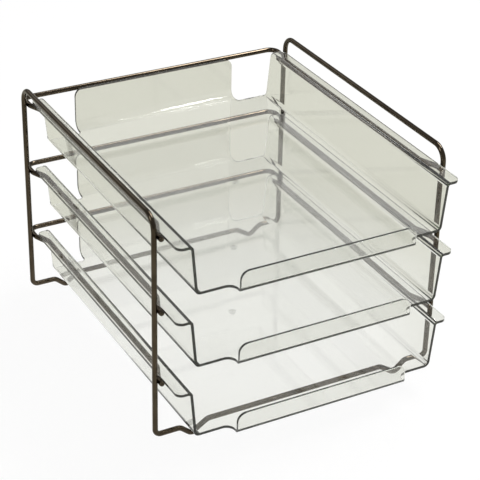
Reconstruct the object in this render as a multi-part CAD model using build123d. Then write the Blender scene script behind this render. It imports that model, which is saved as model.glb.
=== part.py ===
from build123d import *

import os
from math import radians, sin, tan

# A stack of three open letter trays. Each tray is one clear plastic moulding that hangs by its
# side flanges on a bent wire rail and slides out to the front, towards -Y. Two bent wire halves
# carry the rails and stand on four feet, which are dips in the bottom wires.
# Units are millimetres. The origin is on the floor, midway across the width and the depth.

# --- Driving dimensions: wire frame ---
wire_diameter = 4.76
post_spacing_x = 275.0
post_spacing_y = 274.0
bottom_wire_height = 10.6
top_wire_height = 220.6
top_bend_radius = 13.0
bottom_bend_radius = 5.5

# --- Driving dimensions: feet, placed inboard of the posts along the bottom wires ---
foot_low_point = 35.0
foot_outer_slope = radians(40.0)
foot_inner_slope = radians(33.0)
foot_shoulder_radius = 8.0
foot_low_radius = 6.0

# --- Driving dimensions: rails, welded inside the posts and jogged further in between them ---
lowest_rail_height = 64.3
rail_pitch = 69.1
level_names = ["lower", "middle", "upper"]
weld_set_down = 0.26
rail_end_overhang = 4.0
rail_jog_depth = 6.5
rail_jog_start = 3.0
rail_jog_end = 18.5
rail_jog_radius = 10.0
rail_back_setback = 15.0
rail_corner_radius = 9.0

# --- Driving dimensions: trays ---
tray_thickness = 2.6
tray_height = 46.0
flange_half_width = 132.7
flange_clearance = 0.3
flange_bend_radius = 1.5
flange_corner_radius = 6.0
wall_top_half_width = 121.3
wall_lean = radians(5.4)
floor_bend_radius = 5.5
tray_front_overhang = 33.0
tray_back_inset = 4.0

# --- Driving dimensions: lip and rear plate, which turn up from the middle of the floor ---
tongue_half_width = 82.8
tongue_front_root_radius = 8.0
tongue_back_root_radius = 4.0
lip_reach = 45.8
lip_height = 19.0
lip_bend_radius = 4.0
plate_setback = 9.0
plate_drop = 4.5
plate_bend_radius = 7.0
tongue_corner_radius = 8.0

# --- Driving dimensions: gate mark in the middle of a tray floor ---
gate_ring_radius = 3.5
gate_ring_width = 0.8
gate_dimple_radius = 1.2
gate_mark_depth = 0.4

# --- Worked out from the driving dimensions ---
wire_radius = wire_diameter / 2
post_x = post_spacing_x / 2
overall_depth = lip_reach + post_spacing_y + rail_back_setback + wire_radius
front_post_y = lip_reach - overall_depth / 2
rear_post_y = front_post_y + post_spacing_y
rail_end_x = post_x - wire_diameter + weld_set_down
rail_inner_x = rail_end_x - rail_jog_depth
flange_underside = tray_height - tray_thickness
floor_half_width = wall_top_half_width - flange_underside * tan(wall_lean)
tray_front_y = front_post_y - tray_front_overhang
tray_back_y = rear_post_y - tray_back_inset
lip_y = front_post_y - lip_reach
plate_y = rear_post_y + plate_setback + tray_thickness
plate_height = tray_height - plate_drop
gate_y = (lip_y + plate_y) / 2


def bent_wire(points, radii):
    """A round wire bent along straight runs, with an arc at each corner."""
    route = FilletPolyline(*points, radius=radii)
    return sweep((route ^ 0) * Circle(wire_radius), path=route)


def foot_points(side, y):
    """Corners of the dip that makes a foot, from its inner shoulder to its outer one."""
    both_slopes = sin(foot_outer_slope + foot_inner_slope)
    arc_lift = foot_low_radius * ((sin(foot_outer_slope) + sin(foot_inner_slope)) / both_slopes - 1)
    depth = bottom_wire_height - wire_radius + arc_lift
    inner_shoulder = foot_low_point + depth / tan(foot_inner_slope)
    outer_shoulder = foot_low_point - depth / tan(foot_outer_slope)
    return [
        (side * (post_x - inner_shoulder), y, bottom_wire_height),
        (side * (post_x - foot_low_point), y, bottom_wire_height - depth),
        (side * (post_x - outer_shoulder), y, bottom_wire_height),
    ]


def frame_wire(side):
    """One half of the frame: along the floor to a post, over the top and back along the floor."""
    points = [(0, front_post_y, bottom_wire_height)]
    points += foot_points(side, front_post_y)
    points += [
        (side * post_x, front_post_y, bottom_wire_height),
        (side * post_x, front_post_y, top_wire_height),
        (side * post_x, rear_post_y, top_wire_height),
        (side * post_x, rear_post_y, bottom_wire_height),
    ]
    points += reversed(foot_points(side, rear_post_y))
    points += [(0, rear_post_y, bottom_wire_height)]
    foot_radii = [foot_shoulder_radius, foot_low_radius, foot_shoulder_radius]
    corner_radii = [bottom_bend_radius, top_bend_radius, top_bend_radius, bottom_bend_radius]
    return bent_wire(points, foot_radii + corner_radii + foot_radii)


def rail_side_points(side, height):
    """One side of a rail from its front end: in line with its welds, jogged between the posts."""
    return [
        (side * rail_end_x, front_post_y - rail_end_overhang, height),
        (side * rail_end_x, front_post_y + rail_jog_start, height),
        (side * rail_inner_x, front_post_y + rail_jog_end, height),
        (side * rail_inner_x, rear_post_y - rail_jog_end, height),
        (side * rail_end_x, rear_post_y - rail_jog_start, height),
        (side * rail_end_x, rear_post_y + rail_back_setback, height),
    ]


def rail_wire(height):
    """A rail: two sides and the cross wire behind the rear posts, with its front ends rounded."""
    points = rail_side_points(-1, height) + list(reversed(rail_side_points(1, height)))
    side_radii = [rail_jog_radius] * 4
    corner_radii = [rail_corner_radius] * 2
    wire = bent_wire(points, side_radii + corner_radii + side_radii)
    for end in (points[0], points[-1]):
        wire += Pos(*end) * Sphere(wire_radius)
    return wire


def sheet_section(points, radii):
    """A moulded sheet seen from its end: its underside line, thickened towards the inside."""
    underside = FilletPolyline(*points, radius=radii)
    outline = Wire(underside.edges()).offset_2d(tray_thickness, side=Side.RIGHT)
    return make_face(outline.edges())


def tray_channel():
    """Floor, leaning side walls and flanges: one section drawn out from front to back."""
    half = [
        (flange_half_width, flange_underside),
        (wall_top_half_width, flange_underside),
        (floor_half_width, 0),
    ]
    points = half + [(-x, z) for x, z in reversed(half)]
    radii = [flange_bend_radius, floor_bend_radius, floor_bend_radius, flange_bend_radius]
    section = Plane.XZ * sheet_section(points, radii)
    back_y = tray_back_y + tongue_back_root_radius
    length = back_y - tray_front_y + tongue_front_root_radius
    return Pos(0, back_y, 0) * extrude(section, length)


def tray_tongue():
    """Front lip, middle of the floor and rear plate: one section drawn out across the tray."""
    points = [(plate_y, plate_height), (plate_y, 0), (lip_y, 0), (lip_y, lip_height)]
    radii = [plate_bend_radius + tray_thickness, lip_bend_radius]
    section = Plane.YZ * sheet_section(points, radii)
    tongue = extrude(section, tongue_half_width, both=True)
    top_ends = tongue.edges().filter_by(Axis.Y).filter_by(lambda edge: edge.center().Z > lip_height / 2)
    return fillet(top_ends, tongue_corner_radius)


def tray_plan():
    """The tray's outline from above, stepped in beside the lip and beside the rear plate."""
    half = [
        (tongue_half_width, lip_y),
        (tongue_half_width, tray_front_y),
        (flange_half_width, tray_front_y),
        (flange_half_width, tray_back_y),
        (tongue_half_width, tray_back_y),
        (tongue_half_width, plate_y),
    ]
    half_radii = [
        0,
        tongue_front_root_radius,
        flange_corner_radius,
        flange_corner_radius,
        tongue_back_root_radius,
        0,
    ]
    points = half + [(-x, y) for x, y in reversed(half)]
    radii = half_radii + list(reversed(half_radii))
    outline = FilletPolyline(*points, radius=radii, close=True)
    return make_face(outline.edges())


def gate_mark():
    """A shallow ring and dimple, left in the floor where the mould was filled."""
    ring = Circle(gate_ring_radius) - Circle(gate_ring_radius - gate_ring_width)
    mark = extrude(ring + Circle(gate_dimple_radius), -gate_mark_depth)
    return Pos(0, gate_y, tray_thickness) * mark


def tray():
    """A whole tray, standing on z = 0."""
    sheet = tray_channel() + tray_tongue()
    return (sheet & extrude(tray_plan(), tray_height)) - gate_mark()


os.makedirs("parts", exist_ok=True)

tray_on_floor = tray()
solids = {
    "left_frame_wire": frame_wire(-1),
    "right_frame_wire": frame_wire(1),
}
for level, name in enumerate(level_names):
    rail_height = lowest_rail_height + level * rail_pitch
    tray_lift = rail_height + wire_radius + flange_clearance - flange_underside
    solids[f"{name}_rail_wire"] = rail_wire(rail_height)
    solids[f"{name}_tray"] = Pos(0, 0, tray_lift) * tray_on_floor

for name, solid in solids.items():
    print(name, "volume", round(solid.volume), "valid", solid.is_valid)
    export_step(solid, f"parts/{name}.step")
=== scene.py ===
from math import cos, pi, radians, sin

import bpy
from mathutils import Matrix, Vector

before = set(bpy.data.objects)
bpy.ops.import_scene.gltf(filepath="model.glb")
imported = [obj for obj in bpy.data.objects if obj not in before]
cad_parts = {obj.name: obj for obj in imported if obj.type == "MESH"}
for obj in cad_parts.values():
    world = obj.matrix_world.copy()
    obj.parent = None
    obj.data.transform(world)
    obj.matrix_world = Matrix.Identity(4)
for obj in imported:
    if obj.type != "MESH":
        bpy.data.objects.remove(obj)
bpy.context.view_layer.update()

LEVELS = ["lower", "middle", "upper"]
SIDES = ["left", "right"]
TRAYS = [f"{level}_tray" for level in LEVELS]
WIRES = [f"{side}_frame_wire" for side in SIDES] + [f"{level}_rail_wire" for level in LEVELS]

# --- The photograph's camera, in metres and radians, with its sensor in millimetres ---
CAMERA_PLACE = (-0.6248, -1.1460, 0.8500)
CAMERA_TURN = 0.5045
CAMERA_DIP = 0.5197
CAMERA_ROLL = 0.023
FOCAL_PIXELS = 1651.1
IMAGE_PIXELS = 480
SENSOR_WIDTH = 36.0
NEAREST_SEEN = 0.05
FARTHEST_SEEN = 50.0

# --- Procedural noise: the range that nearly all of its values are in ---
NOISE_LOW = 0.35
NOISE_HIGH = 0.65

# --- Clear plastic: the absorption and its density set how fast light fades inside it ---
PLASTIC_COLOUR = (0.965, 0.965, 0.955)
PLASTIC_CLEARNESS = 0.98
PLASTIC_INDEX = 1.5
PLASTIC_ABSORPTION = (0.72, 0.77, 0.66)
PLASTIC_DENSITY = 25.0
PLASTIC_ROUGHNESS = (0.01, 0.03)
PLASTIC_WAVE_SCALE = 9.0
PLASTIC_WAVE_DETAIL = 1.0
PLASTIC_WAVE_BUMP = 0.06
PLASTIC_BUMP_DISTANCE = 0.002

# --- Plated wire ---
WIRE_COLOUR_DARK = (0.060, 0.047, 0.033)
WIRE_COLOUR_LIGHT = (0.092, 0.073, 0.052)
WIRE_ROUGHNESS = (0.06, 0.12)
WIRE_MOTTLE_SCALE = 45.0
WIRE_MOTTLE_DETAIL = 3.0
WIRE_GRAIN_SCALE = 900.0
WIRE_GRAIN_DETAIL = 2.0
WIRE_GRAIN_BUMP = 0.008
WIRE_GRAIN_DISTANCE = 0.0002

# --- Moulded edges ---
RIM_RADIUS = 0.0002
RIM_STEPS = 3
RIM_ANGLE = radians(35)
WELD_DISTANCE = 0.000002

# --- Studio, in metres, degrees and radiance ---
WHITE = (1.0, 1.0, 1.0)
FLOOR_SIZE = 30.0
FLOOR_COLOUR = (0.90, 0.895, 0.885)
FLOOR_WHITE = 0.935
# Painted light and shade in the floor's glow, seen in reflections and through the plastic: near
# white close to the object, greyer farther out
SWEEP_NEAR = (0.99, 0.99, 0.975)
SWEEP_FAR = (0.695, 0.695, 0.60)
SWEEP_NEAR_REACH = 0.08
SWEEP_FAR_REACH = 0.33
WORLD_LIGHT = 0.36
WORLD_TONE = (1.0, 0.995, 0.985)
# Each softbox: azimuth from +Y towards +X, elevation, distance, width, height, radiance
SOFTBOXES = {
    "key_softbox": (95.0, 56.0, 2.0, 0.7, 0.5, 18.0),
    "top_softbox": (66.0, 63.0, 2.0, 0.9, 0.4, 18.0),
    "back_softbox": (-12.0, 34.0, 2.4, 1.0, 0.7, 0.7),
    "left_softbox": (-100.0, 40.0, 2.2, 0.35, 1.0, 8.0),
}
STUDIO_MIDDLE = Vector((0.0, 0.0, 0.11))


def make_camera():
    """The camera that took the photograph."""
    data = bpy.data.cameras.new("photo_camera")
    data.sensor_width = SENSOR_WIDTH
    data.lens = FOCAL_PIXELS / IMAGE_PIXELS * SENSOR_WIDTH
    data.clip_start = NEAREST_SEEN
    data.clip_end = FARTHEST_SEEN
    camera = bpy.data.objects.new("photo_camera", data)
    bpy.context.scene.collection.objects.link(camera)
    forward = Vector((
        cos(CAMERA_DIP) * sin(CAMERA_TURN),
        cos(CAMERA_DIP) * cos(CAMERA_TURN),
        -sin(CAMERA_DIP),
    ))
    level_right = Vector((cos(CAMERA_TURN), -sin(CAMERA_TURN), 0))
    level_up = level_right.cross(forward)
    right = cos(CAMERA_ROLL) * level_right + sin(CAMERA_ROLL) * level_up
    up = cos(CAMERA_ROLL) * level_up - sin(CAMERA_ROLL) * level_right
    turn = Matrix((right, up, -forward)).transposed()
    camera.matrix_world = Matrix.Translation(CAMERA_PLACE) @ turn.to_4x4()
    bpy.context.scene.camera = camera


def node_material(name):
    """An empty node material, with its tree and its output."""
    material = bpy.data.materials.new(name)
    material.use_nodes = True
    tree = material.node_tree
    tree.nodes.clear()
    output = tree.nodes.new("ShaderNodeOutputMaterial")
    return material, tree, output


def noise(tree, place, scale, detail):
    """Procedural noise in object space."""
    texture = tree.nodes.new("ShaderNodeTexNoise")
    texture.inputs["Scale"].default_value = scale
    texture.inputs["Detail"].default_value = detail
    tree.links.new(place, texture.inputs["Vector"])
    return texture.outputs["Fac"]


def spread(tree, value, low, high):
    """Noise in its usual range, mapped onto low to high."""
    mapping = tree.nodes.new("ShaderNodeMapRange")
    mapping.inputs["From Min"].default_value = NOISE_LOW
    mapping.inputs["From Max"].default_value = NOISE_HIGH
    mapping.inputs["To Min"].default_value = low
    mapping.inputs["To Max"].default_value = high
    tree.links.new(value, mapping.inputs["Value"])
    return mapping.outputs["Result"]


def bump(tree, height, strength, distance):
    """A bump that follows a height."""
    node = tree.nodes.new("ShaderNodeBump")
    node.inputs["Strength"].default_value = strength
    node.inputs["Distance"].default_value = distance
    tree.links.new(height, node.inputs["Height"])
    return node.outputs["Normal"]


def plastic_material():
    """Clear moulded plastic: faintly wavy and grey-green where light goes a long way inside."""
    material, tree, output = node_material("clear_plastic_look")
    place = tree.nodes.new("ShaderNodeTexCoord").outputs["Object"]
    surface = tree.nodes.new("ShaderNodeBsdfPrincipled")
    surface.inputs["Base Color"].default_value = (*PLASTIC_COLOUR, 1)
    surface.inputs["IOR"].default_value = PLASTIC_INDEX
    surface.inputs["Transmission Weight"].default_value = PLASTIC_CLEARNESS
    waves = noise(tree, place, PLASTIC_WAVE_SCALE, PLASTIC_WAVE_DETAIL)
    tree.links.new(spread(tree, waves, *PLASTIC_ROUGHNESS), surface.inputs["Roughness"])
    tree.links.new(
        bump(tree, waves, PLASTIC_WAVE_BUMP, PLASTIC_BUMP_DISTANCE), surface.inputs["Normal"])
    inside = tree.nodes.new("ShaderNodeVolumeAbsorption")
    inside.inputs["Color"].default_value = (*PLASTIC_ABSORPTION, 1)
    inside.inputs["Density"].default_value = PLASTIC_DENSITY
    tree.links.new(surface.outputs["BSDF"], output.inputs["Surface"])
    tree.links.new(inside.outputs["Volume"], output.inputs["Volume"])
    return material


def wire_material():
    """Dark plated steel wire, a little uneven in tone and gloss."""
    material, tree, output = node_material("plated_wire_look")
    place = tree.nodes.new("ShaderNodeTexCoord").outputs["Object"]
    surface = tree.nodes.new("ShaderNodeBsdfPrincipled")
    surface.inputs["Metallic"].default_value = 1.0
    mottle = noise(tree, place, WIRE_MOTTLE_SCALE, WIRE_MOTTLE_DETAIL)
    tone = tree.nodes.new("ShaderNodeMix")
    tone.data_type = "RGBA"
    tone.inputs["A"].default_value = (*WIRE_COLOUR_DARK, 1)
    tone.inputs["B"].default_value = (*WIRE_COLOUR_LIGHT, 1)
    tree.links.new(spread(tree, mottle, 0.0, 1.0), tone.inputs["Factor"])
    tree.links.new(tone.outputs["Result"], surface.inputs["Base Color"])
    tree.links.new(spread(tree, mottle, *WIRE_ROUGHNESS), surface.inputs["Roughness"])
    grain = noise(tree, place, WIRE_GRAIN_SCALE, WIRE_GRAIN_DETAIL)
    tree.links.new(
        bump(tree, grain, WIRE_GRAIN_BUMP, WIRE_GRAIN_DISTANCE), surface.inputs["Normal"])
    tree.links.new(surface.outputs["BSDF"], output.inputs["Surface"])
    return material


def dress(node, material):
    """Gives a CAD node its finish."""
    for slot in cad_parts[node].material_slots:
        slot.material = material


def round_rims(node):
    """Rounds the sharp rims of a moulding, which light makes visible."""
    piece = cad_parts[node]
    weld = piece.modifiers.new("join_faces", "WELD")
    weld.merge_threshold = WELD_DISTANCE
    rims = piece.modifiers.new("round_rims", "BEVEL")
    rims.width = RIM_RADIUS
    rims.segments = RIM_STEPS
    rims.limit_method = "ANGLE"
    rims.angle_limit = RIM_ANGLE
    rims.harden_normals = True


def any_ray(tree, *kinds):
    """1 where the ray is one of the named kinds, else 0."""
    path = tree.nodes.new("ShaderNodeLightPath")
    total = path.outputs[kinds[0]]
    for kind in kinds[1:]:
        most = tree.nodes.new("ShaderNodeMath")
        most.operation = "MAXIMUM"
        tree.links.new(total, most.inputs[0])
        tree.links.new(path.outputs[kind], most.inputs[1])
        total = most.outputs["Value"]
    return total


def painted_sweep_light(tree):
    """What the object lets through and reflects: the floor's glow with painted light, pale
    under the object, and painted shade, greyer on the sweep around it.
    """
    place = tree.nodes.new("ShaderNodeNewGeometry").outputs["Position"]
    reach = tree.nodes.new("ShaderNodeVectorMath")
    reach.operation = "LENGTH"
    tree.links.new(place, reach.inputs[0])
    fade = tree.nodes.new("ShaderNodeMapRange")
    fade.interpolation_type = "SMOOTHSTEP"
    fade.inputs["From Min"].default_value = SWEEP_NEAR_REACH
    fade.inputs["From Max"].default_value = SWEEP_FAR_REACH
    tree.links.new(reach.outputs["Value"], fade.inputs["Value"])
    tone = tree.nodes.new("ShaderNodeMix")
    tone.data_type = "RGBA"
    tone.inputs["A"].default_value = (*SWEEP_NEAR, 1)
    tone.inputs["B"].default_value = (*SWEEP_FAR, 1)
    tree.links.new(fade.outputs["Result"], tone.inputs["Factor"])
    return tone.outputs["Result"]


def white_to_camera(tree, tone):
    """White on the camera's own rays, and the sweep's painted light and shade on all others."""
    seen = tree.nodes.new("ShaderNodeMix")
    seen.data_type = "RGBA"
    seen.inputs["B"].default_value = (*WHITE, 1)
    tree.links.new(any_ray(tree, "Is Camera Ray"), seen.inputs["Factor"])
    tree.links.new(tone, seen.inputs["A"])
    return seen.outputs["Result"]


def make_floor():
    """A pale floor, nearly white where it is seen, with the object's soft shadow on it, and
    painted light and shade in its glow where it is reflected or seen through the plastic.
    """
    material, tree, output = node_material("floor_look")
    lit = tree.nodes.new("ShaderNodeBsdfDiffuse")
    lit.inputs["Color"].default_value = (*FLOOR_COLOUR, 1)
    glow = tree.nodes.new("ShaderNodeEmission")
    tree.links.new(white_to_camera(tree, painted_sweep_light(tree)), glow.inputs["Color"])
    share = tree.nodes.new("ShaderNodeMath")
    share.operation = "MULTIPLY"
    share.inputs[1].default_value = FLOOR_WHITE
    seen = any_ray(tree, "Is Camera Ray", "Is Glossy Ray", "Is Transmission Ray")
    tree.links.new(seen, share.inputs[0])
    mixed = tree.nodes.new("ShaderNodeMixShader")
    tree.links.new(share.outputs["Value"], mixed.inputs["Fac"])
    tree.links.new(lit.outputs["BSDF"], mixed.inputs[1])
    tree.links.new(glow.outputs["Emission"], mixed.inputs[2])
    tree.links.new(mixed.outputs["Shader"], output.inputs["Surface"])
    bpy.ops.mesh.primitive_plane_add(size=FLOOR_SIZE)
    floor = bpy.context.object
    floor.name = "floor"
    floor.data.materials.append(material)


def make_world():
    """A soft surround, white where it is seen or shows through."""
    world = bpy.data.worlds.new("studio")
    bpy.context.scene.world = world
    world.use_nodes = True
    tree = world.node_tree
    background = tree.nodes["Background"]
    background.inputs["Color"].default_value = (*WORLD_TONE, 1)
    strength = tree.nodes.new("ShaderNodeMapRange")
    strength.inputs["To Min"].default_value = WORLD_LIGHT
    strength.inputs["To Max"].default_value = 1.0
    seen = any_ray(tree, "Is Camera Ray", "Is Transmission Ray")
    tree.links.new(seen, strength.inputs["Value"])
    tree.links.new(strength.outputs["Result"], background.inputs["Strength"])


def make_softbox(name, azimuth, elevation, distance, width, height, radiance):
    """A rectangular softbox that faces the middle of the object."""
    turn, rise = radians(azimuth), radians(elevation)
    towards = Vector((sin(turn) * cos(rise), cos(turn) * cos(rise), sin(rise)))
    data = bpy.data.lights.new(name, "AREA")
    data.shape = "RECTANGLE"
    data.size = width
    data.size_y = height
    data.energy = radiance * pi * width * height
    lamp = bpy.data.objects.new(name, data)
    lamp.location = STUDIO_MIDDLE + distance * towards
    lamp.rotation_euler = towards.to_track_quat("Z", "Y").to_euler()
    # A lamp's own image through the plastic would only speckle it.
    lamp.visible_camera = False
    lamp.visible_transmission = False
    bpy.context.scene.collection.objects.link(lamp)


make_camera()
make_world()
make_floor()
for name, values in SOFTBOXES.items():
    make_softbox(name, *values)
plastic = plastic_material()
wire = wire_material()
for name in TRAYS:
    dress(name, plastic)
    round_rims(name)
for name in WIRES:
    dress(name, wire)

bpy.context.scene.view_settings.view_transform = "Standard"
